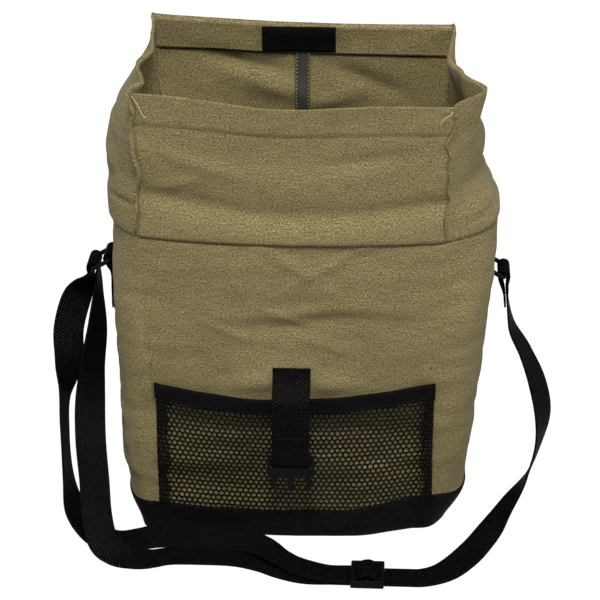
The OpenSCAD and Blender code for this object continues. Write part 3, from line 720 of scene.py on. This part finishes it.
# piece, node, finish, slot, inset from the wall, height of its face and thickness
baseSheets = (("basePanel", "base_panel", baseCloth, "base_fabric", None, 0.1, 1.5),
              ("baseBoard", "base_board", board, "stiffener", 5.5, 2.3, 2.5))
for name, node, finish, slot, inset, foot, thick in baseSheets:
    bm = bmesh.new()
    bmesh.ops.create_circle(bm, cap_ends=True, segments=bag["columns"], radius=1)
    for i, vert in enumerate(sorted(bm.verts, key=lambda v: math.atan2(v.co.x, -v.co.y))):
        u = (i + startColumn) / bag["columns"] % 1
        point = wallPoint(*bagColumn(u), 4, -inset) if inset else basePlace(u, 0)
        vert.co = Vector((point.x, point.y, foot)) * mm
    bmesh.ops.inset_region(bm, faces=bm.faces[:], thickness=6 * mm, depth=0.0)
    mapFlat(bm)
    bmesh.ops.recalc_face_normals(bm, faces=bm.faces)
    if sum(face.normal.z * face.calc_area() for face in bm.faces) > 0:
        bmesh.ops.reverse_faces(bm, faces=bm.faces)
    finishMesh(bm, name, finish, "bag", (node,), False, thick=thick, offset=-1)


def liningPlace(u, v):
    z = mix(34, bag["seamZ"] - 6, v)
    x = mix(112, -112, u)
    return wallPoint(2, u * 0.96 + 0.02, z, -7.0 - 0.8 * noise.noise(Vector((x / 40, z / 30, 4))) ** 2)


finishMesh(clothGrid(40, 40, (230, 228), liningPlace), "backLining", canvas, "bag", ("back_lining",),
           thick=0.8)


def frontSurface(x, z, stand):  # a point standing off the canvas of the front
    left, right = -along(bag["cornerLeft"], z), along(bag["cornerRight"], z)
    if left <= x <= right:
        s = (x - left) / (right - left)
        return wallPoint(0, s, z, bodyFolds(0, s, z) + stand)
    wall, corner = (1, right) if x > right else (3, left)
    reach = along(bag["right" if wall == 1 else "left"], z) - abs(corner)
    t = math.acos(clamp01(abs(x - corner) / reach) ** 1.5) * 2 / math.pi  # 1 at the corner
    s = (1 - t) / 2 if wall == 1 else (1 + t) / 2
    return wallPoint(wall, s, z, bodyFolds(wall, s, z) + stand)


print("stage: net pocket")
pocket = {"halfWidth": 110.5, "middle": 1.5, "foot": 28, "corner": 141, "dip": 7, "bulge": 5, "binding": 12,
          "cell": 4.4, "thread": 1.3, "stretch": 1.08, "bunched": 9, "squeeze": 0.52, "netThick": 0.55}


def pocketMouth(x):
    lean = 2.5 * x / pocket["halfWidth"]
    return pocket["corner"] + lean - pocket["dip"] * (1 - abs(x / pocket["halfWidth"]) ** 1.9)


def netFoot(x):
    return pocket["foot"] - bag["bandZ"] + bandTop(x)


def netStand(x, z):
    across = 1 - abs(x / pocket["halfWidth"]) ** 4
    sag = noise.noise(Vector((x / 26, z / 30, 12.5)))
    gape = smooth((z - 98) / 42)  # tight against the canvas below, standing off it at the mouth
    return 0.6 + across * gape * (pocket["bulge"] - 1 + sag * 1.5)


def netPoint(a, z, stand):  # a is measured along the cloth; both sides are bunched to half their width
    half = pocket["halfWidth"]
    flatHalf = half - pocket["bunched"]
    x = a if abs(a) <= flatHalf else math.copysign(flatHalf + (abs(a) - flatHalf) * pocket["squeeze"], a)
    x = max(-half, min(half, x))
    z = max(z, netFoot(x) - 3)
    return frontSurface(x + pocket["middle"], z, netStand(x, z) + stand)


cell, rowStep = pocket["cell"], pocket["cell"] * math.sqrt(3) / 2
reachA = pocket["halfWidth"] - pocket["bunched"] + pocket["bunched"] / pocket["squeeze"]


def netRise(b):  # the net is stretched upwards
    return (b - pocket["foot"]) * pocket["stretch"] + pocket["foot"]


def addCell(bm, a, b):  # one hexagon of the net, laid out flat in millimetres
    bmesh.ops.create_circle(bm, cap_ends=True, segments=6, radius=cell / math.sqrt(3),
                            matrix=Matrix.Translation((a, b, 0)))


def openCells(bm, thread, depth):  # leaves a rim of yarn round each cell
    bmesh.ops.remove_doubles(bm, verts=bm.verts, dist=0.2)
    rims = bmesh.ops.inset_individual(bm, faces=bm.faces[:], thickness=thread / 2, depth=-depth)["faces"]
    rims = set(rims)
    bmesh.ops.delete(bm, geom=[face for face in bm.faces if face not in rims], context="FACES")
    mapFlat(bm, mm)


bm = bmesh.new()
for j in range(int((pocket["corner"] - pocket["foot"]) / rowStep) + 1):
    for i in range(-int(reachA / cell) - 1, int(reachA / cell) + 2):
        a, b = (i + 0.5 * (j % 2)) * cell, pocket["foot"] + j * rowStep
        x = min(pocket["halfWidth"], abs(a))
        if abs(a) < reachA and netRise(b) < pocketMouth(math.copysign(x, a)) - 5:
            addCell(bm, a, b)
openCells(bm, pocket["thread"], 0.15)
for vert in bm.verts:
    wobble = 0.35 * noise.noise_vector(Vector((vert.co.x / 6, vert.co.y / 6, 3)))
    vert.co = netPoint(vert.co.x + wobble.x, netRise(vert.co.y) + wobble.y, 0.1 + vert.co.z) * mm
finishMesh(bm, "pocketNet", netYarn, "bag", ("pocket_net",), thick=pocket["netThick"])

# each side edge is a second, gathered layer of the same net, half a cell out of step
for side in (-1, 1):
    bm = bmesh.new()
    for j in range(int((pocket["corner"] - pocket["foot"]) / rowStep) - 1):
        for i in range(7):
            addCell(bm, (i + 0.5 * ((j + 1) % 2)) * cell, pocket["foot"] + j * rowStep + 1.8)
    openCells(bm, 1.2, 0.2)
    for vert in bm.verts:
        a, z = vert.co.x, vert.co.y
        inner = 8 + 4.5 * noise.noise(Vector((z / 18, side * 4.4, 0)))  # the gathers aren't even
        x = pocket["halfWidth"] + 0.4 - inner * clamp01(1 - a / 28) ** 1.1
        roll = 1.6 * math.sin(math.pi * clamp01((pocket["halfWidth"] - x) / 14))
        vert.co = frontSurface(side * x + pocket["middle"], z, netStand(x, z) + 1.9 + roll + vert.co.z) * mm
    finishMesh(bm, "netGathers" + ("Left" if side < 0 else "Right"), netYarn, "bag", (),
               thick=pocket["netThick"])


def bindingPlace(u, v):  # front leg, fold, back leg
    x = mix(-pocket["halfWidth"] - 1.5, pocket["halfWidth"] + 1.5, u)
    inner = max(-pocket["halfWidth"], min(pocket["halfWidth"], x))
    leg, arc = 0.44, 2.0  # each leg's share of the tape, and how high its fold arches
    turned = (v - leg) / (1 - 2 * leg)
    fold = smooth(turned)
    drop = pocket["binding"] * (max(0, leg - v) + max(0, v - 1 + leg)) / leg
    arch = arc * math.sin(math.pi * clamp01(turned))
    slack = 0.8 * noise.noise(Vector((x / 14, 5.5, 0))) + 1.6 * hump(abs(x), 107, 4)
    z = pocketMouth(inner) - drop - 0.6
    stand = netStand(inner, pocketMouth(inner) - drop) + mix(2.2 + slack, -0.8 + slack * 0.5, fold)
    point = frontSurface(x + pocket["middle"], z, max(stand, 0.5))
    point.z = z + arch * 0.6
    return point


finishMesh(clothGrid(120, 24, (228, 27), bindingPlace), "pocketBinding", bindingCloth, "bag",
           ("pocket_binding",), thick=0.7)


print("stage: tape, patches and stitching")


def tapePlace(u, v):
    z = mix(bag["seamZ"] - 4, 360, v)
    x = mix(-6, 6, u)
    s = (along(bag["cornerRight"], z) - x) / (along(bag["cornerRight"], z) + along(bag["cornerLeft"], z))
    point = collarPoint(2, s, z, -2.3 + 0.12 * (-1) ** round(v * 98))
    return Vector((x, point.y, point.z))


finishMesh(clothGrid(24, 98, (12, 98), tapePlace), "seamTape", tapeYarn, "bag", ("seam_tape",),
           thick=0.5)

patch = {"width": 60, "height": 22, "columns": 75, "rows": 28, "pile": 0.28, "stand": 3.6, "thick": 0.9}


def patchPiece(name, node, wall, centreX, centreZ):
    columns, rows = patch["columns"], patch["rows"]
    lifts = [[patch["pile"] * rng.random() for column in range(columns + 1)] for row in range(rows + 1)]

    def place(u, v):
        column, row = round(u * columns), round(v * rows)
        x, z = centreX + (u - 0.5) * patch["width"], centreZ + (v - 0.5) * patch["height"]
        left, right = -along(bag["cornerLeft"], z), along(bag["cornerRight"], z)
        s = (x - left) / (right - left) if wall == 0 else (right - x) / (right - left)
        rim = min(column, row, columns - column, rows - row) < 2
        point = collarPoint(wall, s, z, -patch["stand"] - (0 if rim else 0.35 + lifts[row][column]))
        return Vector((x, point.y, z))

    finishMesh(clothGrid(columns, rows, (patch["width"], patch["height"]), place), name, pileCloth, "bag",
               (node,), thick=patch["thick"])


patchPiece("hookPatch", "hook_patch", 2, -3, 376)
patchPiece("loopPatch", "loop_patch", 0, 0, 360)


# points are (place, face direction) in order; fill is a stitch's share of the step
def stitches(name, points, body, thread, size=0.42, fill=0.62):
    bm = bmesh.new()
    for (a, face), (b, _) in zip(points, points[1:]):
        middle, forward = (a + b) / 2, (b - a)
        length = forward.length * fill
        turnTo = forward.to_track_quat("X", "Z").to_matrix().to_4x4()
        stretch = Matrix.Diagonal((length / 2 * mm, size * mm, size * mm, 1))
        lift = Matrix.Translation((middle + face * size * 0.45) * mm)
        bmesh.ops.create_uvsphere(bm, u_segments=6, v_segments=4, radius=1, matrix=lift @ turnTo @ stretch)
    mapFlat(bm, 1.0, 2)
    finishMesh(bm, name, thread, body, ())


def tackRow(name, centre, wide, face, reach, body):  # black stitches across webbing, 2 mm apart
    places = [(centre + Vector(wide) * k, Vector(face)) for k in range(-reach, reach + 1, 2)]
    stitches(name, places, body, blackThread, 0.4, 0.7)


def collarRow(wall, z0, z1, s0, s1, out, step=3.1):  # evenly stitched along the collar
    a, b = collarPoint(wall, s0, z0, out), collarPoint(wall, s1, z1, out)
    count = max(2, round((b - a).length / step))
    face = Vector((0, -1 if wall == 0 else 1, 0)) * (1 if out > -1 else -1)
    return [(collarPoint(wall, mix(s0, s1, k / count), mix(z0, z1, k / count), out), face)
            for k in range(count + 1)]


hemLine = bag["topZ"] - bag["hem"]
frontward = Vector((0, -1, 0))
for name, wall, rise, out in (("Front", 0, 0, -0.9), ("FrontInside", 0, 2, -3.4), ("Back", 2, 2, -3.5),
                              ("BackOutside", 2, 0, -0.9)):
    row = collarRow(wall, hemLine + rise, hemLine + rise, 0.02, 0.98, out)
    stitches("hemStitching" + name, row, "bag", tanThread)
for wall, s0, name in ((0, 0.012, "FrontLeft"), (0, 0.988, "FrontRight"), (2, 0.012, "BackRight"),
                       (2, 0.988, "BackLeft")):
    side, face = (-1 if s0 < 0.5 else 1) * (1 if wall == 0 else -1), (-1 if wall == 0 else 1)
    row = [(place + seamWaver(side, face, place.z), out) for place, out in
           collarRow(wall, bag["seamZ"] + 1, bag["topZ"] - 2, s0, s0, -0.9, 2.8)]
    stitches("seamStitching" + name, row, "bag", tanThread, 0.34)
for x in (-4.9, 4.9):
    row = [(tapePlace(0.5 + x / 12, k / 33) + frontward * 0.4, frontward) for k in range(34)]
    stitches("tapeStitching" + ("Left" if x < 0 else "Right"), row, "bag", paleThread, 0.3, 0.5)
lowEdge = []
for x in range(-110, 111, 3):
    z = pocketMouth(x) - pocket["binding"] + 1.5
    lowEdge.append((frontSurface(x + pocket["middle"], z, netStand(x, z) + 3.2), frontward))
stitches("bindingStitching", lowEdge, "bag", blackThread, 0.35)
for x, z in ((-113, 155), (110, 157)):  # bar tacks above the pocket's corners
    tack = frontSurface(x, z, 0.3)
    ends = [(tack, frontward), (tack + Vector((0.6, 0, 1.6)), frontward)]
    stitches("barTack" + ("Left" if x < 0 else "Right"), ends, "bag", blackThread, 0.5, 1.0)


def rod(points, radius, cyclic=False):  # a round bar through points, as a bmesh
    curve = bpy.data.curves.new("rodLine", "CURVE")
    curve.dimensions = "3D"
    curve.bevel_depth = radius * mm
    curve.bevel_resolution = 3
    curve.use_fill_caps = not cyclic
    line = curve.splines.new("POLY")
    line.points.add(len(points) - 1)
    for point, place in zip(line.points, points):
        point.co = (*(Vector(place) * mm), 1)
    line.use_cyclic_u = cyclic
    holder = bpy.data.objects.new("rodHolder", curve)
    bpy.context.collection.objects.link(holder)
    bpy.context.view_layer.update()
    mesh = bpy.data.meshes.new_from_object(holder.evaluated_get(bpy.context.evaluated_depsgraph_get()))
    bpy.data.objects.remove(holder)
    bm = bmesh.new()
    bm.from_mesh(mesh)
    bpy.data.meshes.remove(mesh)
    return bm


for name, start, steps in (("Left", collarPoint(0, 0.004, 379, 3.5),
                            ((3, -1, -4), (6, -1.5, -9), (8, -1.2, -14), (11, -2, -17))),
                           ("Right", collarPoint(0, 0.996, 377, 3.5),
                            ((-3, -1, -3), (-7, -2, -5), (-10, -2, -9)))):
    thread = smoothRoute([start] + [start + Vector(step) for step in steps], 6)
    bm = rod(thread, 0.24)
    bm.loops.layers.uv.new("cloth")
    finishMesh(bm, "looseThread" + name, paleThread, "bag", ())


print("stage: front closure")
closure = {"width": 30, "thick": 1.5, "pitch": 3.0, "yarns": 13}
joint = {j["name"]: Vector(j["pos_m"]) / mm for j in frame["joints"] if "pos_m" in j}
hinge, bar = joint["front_tab_flap"], joint["male_half_swing"]
wrap = 3.1  # middle of the webbing from the middle of the bar
loose = 4.6  # the same where it hangs slack round a ring
closureRoute = [((0, y, z), (1, 0, 0)) for y, z in (
    (hinge.y + 0.5, hinge.z + 1.6), (hinge.y - 0.2, hinge.z - 4), (hinge.y - 4, hinge.z - 13),
    (-105.2, 138), (-106.6, 128), (-106.9, 112), (-107.2, 98), (bar.y - wrap - 0.3, bar.z + 2),
    (bar.y - wrap, bar.z - wrap * 0.8), (bar.y, bar.z - wrap - 1.4),
    (bar.y + wrap * 0.8, bar.z - wrap * 0.8), (bar.y + wrap, bar.z + 1), (bar.y + 1.6, bar.z + 8),
    (-105.2, 104), (-105.0, 112))]
webbing("closureTab", closureRoute, closure, "front_tab", ("closure_tab",), 0.24)
for name, y, z in (("Upper", hinge.y - 1.3, hinge.z - 2.5), ("Lower", -108.2, 106)):
    tackRow("closureStitching" + name, Vector((0, y, z)), (1, 0, 0), (0, -1, 0), 13, "front_tab")

male = {"half": 19, "thick": 2.0, "plateTop": bar.z - 5, "plateFoot": bar.z - 13.5, "tip": bar.z - 26,
        "sideBar": 3.4, "prong": 13, "barb": 14.6}
bm = bmesh.new()
for side in (-1, 1):
    edge, prong, barb = side * male["half"], side * male["prong"], side * male["barb"]
    block(bm, (edge - (male["sideBar"] if side > 0 else 0), bar.y - 2.1, male["plateFoot"] + 2),
          (edge + (0 if side > 0 else male["sideBar"]), bar.y + 2.1, bar.z + 4), 1.1)
    # a side prong bends out to a barbed tip
    block(bm, (prong - 2.1, bar.y - 1.6, male["tip"] + 5),
          (prong + 2.1, bar.y + 1.6, male["plateFoot"] + 1), 0.7,
          lambda c, side=side: (c.x + side * 1.2 * (c.z < male["plateFoot"]), c.y, c.z))
    block(bm, (barb - 3.0, bar.y - 1.7, male["tip"]), (barb + 3.0, bar.y + 1.7, male["tip"] + 8.5), 0.8,
          lambda c, side=side: (mix(c.x, side * 13.4, 0.45 if c.z < male["tip"] + 1 else 0), c.y, c.z))
block(bm, (-male["half"], bar.y - male["thick"], male["plateFoot"]),
      (male["half"], bar.y + male["thick"], male["plateTop"]), 1.2,
      lambda c: (c.x * (0.97 if c.z > male["plateTop"] - 1 else 1.0), c.y, c.z), 3)
block(bm, (-2.7, bar.y - 1.4, male["tip"] - 1.5), (2.7, bar.y + 1.4, male["plateFoot"] + 1), 0.9,
      lambda c: (c.x * (0.7 if c.z < male["tip"] else 1), c.y, c.z))
for x in (-9, -3, 3, 9):  # finger ribs moulded on the plate
    block(bm, (x - 0.7, bar.y - male["thick"] - 0.5, male["plateFoot"] + 2),
          (x + 0.7, bar.y - 1, male["plateTop"] - 2), 0.3)
barMesh = rod([(-17.5, bar.y, bar.z), (17.5, bar.y, bar.z)], 1.9)
holder = bpy.data.meshes.new("barHolder")
barMesh.to_mesh(holder)
barMesh.free()
bm.from_mesh(holder)
finishMesh(bm, "maleBuckle", acetal, "male_half", ("male_buckle",), False)


print("stage: back hardware")
rear = joint["back_strap_swing"]
rearLow, rearHigh = boxMm("rear_strap")
rearRoute = [((0, rear.y, z), (1, 0, 0))
             for z in (rearHigh.z, rearHigh.z - 30, 160, 100, rearLow.z + 20, rearLow.z)]
webbing("rearStrap", rearRoute, closure, "back_strap", ("rear_strap",), 0.2)
for z in (rearHigh.z - 3, rearHigh.z - 14):
    tackRow("rearStitching%d" % round(z), Vector((0, rear.y + 0.9, z)), (1, 0, 0), (0, 1, 0), 13,
            "back_strap")

low, high = boxMm("female_buckle")
bm = bmesh.new()
centred = Matrix.Translation((low + high) / 2 * mm)
bmesh.ops.create_cube(bm, size=1, matrix=centred @ Matrix.Diagonal((*((high - low) * mm), 1)))
for face in bm.faces[:]:
    if face.normal.z < -0.9:  # the socket
        bmesh.ops.inset_individual(bm, faces=[face], thickness=1.6 * mm, depth=0)
        bmesh.ops.inset_individual(bm, faces=[face], thickness=0.2 * mm, depth=-26 * mm)
    elif abs(face.normal.x) > 0.9:  # the release windows
        bmesh.ops.inset_individual(bm, faces=[face], thickness=2.4 * mm, depth=0)
        bmesh.ops.inset_individual(bm, faces=[face], thickness=0.3 * mm, depth=-1.6 * mm)
    elif face.normal.y > 0.9:  # a shallow thumb rest
        bmesh.ops.inset_individual(bm, faces=[face], thickness=7 * mm, depth=0)
        bmesh.ops.inset_individual(bm, faces=[face], thickness=1.2 * mm, depth=-0.9 * mm)
rim = [edge for edge in bm.edges if edge.calc_face_angle(0) > 0.9]
bmesh.ops.bevel(bm, geom=rim, offset=0.6 * mm, affect="EDGES", segments=2, profile=0.5, material=-1)
for k in range(4):  # grip ribs
    z = low.z + 24 + k * 3.5
    block(bm, (-7, high.y - 1.0, z), (7, high.y - 0.2, z + 1.4), 0.3)
finishMesh(bm, "femaleBuckle", acetal, "female_half", ("female_buckle",), False)


hook = {"plate": 4.0, "seat": 5.1, "seatZ": 236.0, "lip": 14, "rivetZ": (194, 212)}  # seat is its radius


def rackHook(name, node):
    low, high = boxMm(node)
    back, plate, seat, axisZ = low.y, hook["plate"], hook["seat"], hook["seatZ"]
    axisY = high.y - plate - seat
    outline = [(back, low.z), (back + plate, low.z), (back + plate, axisZ - 7), (axisY - seat, axisZ - 3)]
    outline += [(axisY - seat * math.cos(t), axisZ + seat * math.sin(t))
                for t in (math.pi * k / 14 for k in range(15))]
    outline += [(axisY + seat, axisZ - hook["lip"]), (axisY + seat + plate, axisZ - hook["lip"])]
    outline += [(axisY + (seat + plate) * math.cos(t), axisZ + (seat + plate) * math.sin(t))
                for t in (math.pi / 2 * k / 9 for k in range(10))]
    outline += [(back + plate, axisZ + seat + plate), (back + plate, high.z), (back, high.z)]
    bm = bmesh.new()
    face = bm.faces.new([bm.verts.new(Vector((low.x, y, z)) * mm) for y, z in outline])
    grown = bmesh.ops.extrude_face_region(bm, geom=[face])["geom"]
    bmesh.ops.translate(bm, verts=[v for v in grown if isinstance(v, bmesh.types.BMVert)],
                        vec=((high.x - low.x) * mm, 0, 0))
    bmesh.ops.recalc_face_normals(bm, faces=bm.faces)
    sharp = [edge for edge in bm.edges if edge.calc_face_angle(0) > 0.6]
    bmesh.ops.bevel(bm, geom=sharp, offset=0.6 * mm, affect="EDGES", segments=2, profile=0.5, material=-1)
    finishMesh(bm, name, nylon, "bag", (node,), False)
    return (low.x + high.x) / 2, back + plate


# each hook is made once for each of its rivets, so two equal copies lie in one place
rivetPlaces = [(*rackHook(name, node), z)
               for name, node in (("leftRackHook", "left_rack_hook"), ("rightRackHook", "right_rack_hook"))
               for z in hook["rivetZ"]]
rivetHead = ((0, 2.0), (2.2, 1.8), (3.8, 1.1), (4.5, 0.1), (4.3, -0.4))  # radius and height, from the crown
bm = bmesh.new()
for x, y, z in rivetPlaces:
    profile = [bm.verts.new(Vector((x + r, y + h, z)) * mm) for r, h in rivetHead]
    edges = [bm.edges.new(pair) for pair in zip(profile, profile[1:])]
    bmesh.ops.spin(bm, geom=profile + edges, cent=Vector((x, y, z)) * mm, axis=(0, 1, 0), angle=2 * math.pi,
                   steps=24, use_merge=True)
bmesh.ops.remove_doubles(bm, verts=bm.verts, dist=0.01 * mm)
bmesh.ops.recalc_face_normals(bm, faces=bm.faces)
finishMesh(bm, "hookRivets", steel, "bag", ("hook_rivets",))


print("stage: side tabs and rings")
tabWeave = {"width": 25, "thick": 1.4, "pitch": 2.4, "yarns": 11}
ringSize = {"reach": 14, "drop": 8, "half": 14, "radius": 1.9, "corner": 3}
for side, name in ((-1, "left"), (1, "right")):
    pivot = joint[name + "_ring_swing"]
    outer = pivot + Vector((side * ringSize["reach"], 0, -ringSize["drop"]))
    corners = [pivot + Vector((0, a * ringSize["half"], 0)) + (outer - pivot) * b
               for a, b in ((-1, 0), (1, 0), (1, 1), (-1, 1))]
    path = []
    for k, here in enumerate(corners):  # a rounded rectangle
        start, end = (here + (corners[(k + turn) % 4] - here).normalized() * ringSize["corner"]
                      for turn in (-1, 1))
        path += [start.lerp(here, t).lerp(here.lerp(end, t), t) for t in (0, 0.25, 0.5, 0.75, 1)]
    finishMesh(rod(path, ringSize["radius"], True), name + "Ring", acetal, name + "_ring_body",
               (name + "_ring",))
    x, y, z = pivot
    inner, out = x - side * wrap, x + side * loose
    tabRoute = [((a, y, b), (0, 1, 0)) for a, b in (
        (inner, z - 44), (inner, z - 24), (inner, z - 2), (x - side * wrap * 0.7, z + loose * 0.75),
        (x, z + loose), (x + side * loose * 0.75, z + loose * 0.7), (out, z), (x + side * 1.4, z - 6),
        (inner + side * 1.6, z - 12), (inner + side * 1.6, z - 26), (inner + side * 1.6, z - 43))]
    webbing(name + "Tab", tabRoute, tabWeave, "bag", (name + "_tab",))
    for row in (-14, -40):
        tackRow(name + "TabStitching%d" % -row, Vector((inner + side * 2.5, y, z + row)), (0, 1, 0),
                (side, 0, 0), 10, "bag")
    x, y, z = outer
    leg = x + side * 3.6
    over = [(leg, z - 5.5), (x + side * 4.4, z), (x + side * 3.4, z + 3.6), (x, z + loose + 0.4),
            (x - side * 3.4, z + 3.2), (x - side * 4.2, z)]
    if side < 0:
        over += [(x + 2.9, z - 5.5)]
    else:  # the sewn end shows below the right ring
        over += [(x - 3.0, z - 5), (x - 0.4, z - 12), (x + 1.5, z - 20), (x + 1.8, z - 27)]
    webbing(name + "StrapLoop", [((a, y, b), (0, 1, 0)) for a, b in over], shoulder, name + "_ring_body",
            (name + "_strap_loop",))

# the back board and the washers are shown as the frame gives them
for node, material in (("back_board", board), ("hook_washers", steel)):
    for slot in frame["nodes"][node].material_slots:
        slot.material = material
